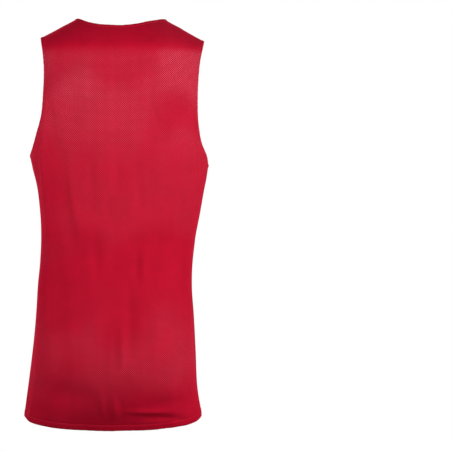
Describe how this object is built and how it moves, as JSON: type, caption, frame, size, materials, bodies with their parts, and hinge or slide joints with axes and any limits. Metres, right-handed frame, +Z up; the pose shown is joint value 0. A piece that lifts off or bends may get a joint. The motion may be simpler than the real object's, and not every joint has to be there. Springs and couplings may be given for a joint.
{
  "type": "reversible sleeveless jersey",
  "caption": "Sleeveless reversible sports jersey of mesh knit, filled out as worn: a red layer outside and a white layer inside, with a scoop neck, deep armholes and a curved hem.",
  "frame": {"origin": "midway between the two shoulder straps, at the middle of their slope, where the wearer's shoulders hold the jersey", "axes": "+Z up along the body, -Y towards the wearer's front, +X towards the wearer's left"},
  "size_m": [0.3287, 0.2381, 0.7295],
  "materials": {
    "outer_cloth": "matt knitted mesh",
    "inner_cloth": "matt knitted mesh"
  },
  "bodies": {
    "root": {"outer_back": "outer_cloth", "outer_front": "outer_cloth", "inner_back": "inner_cloth", "inner_front": "inner_cloth"}
  },
  "joints": []
}
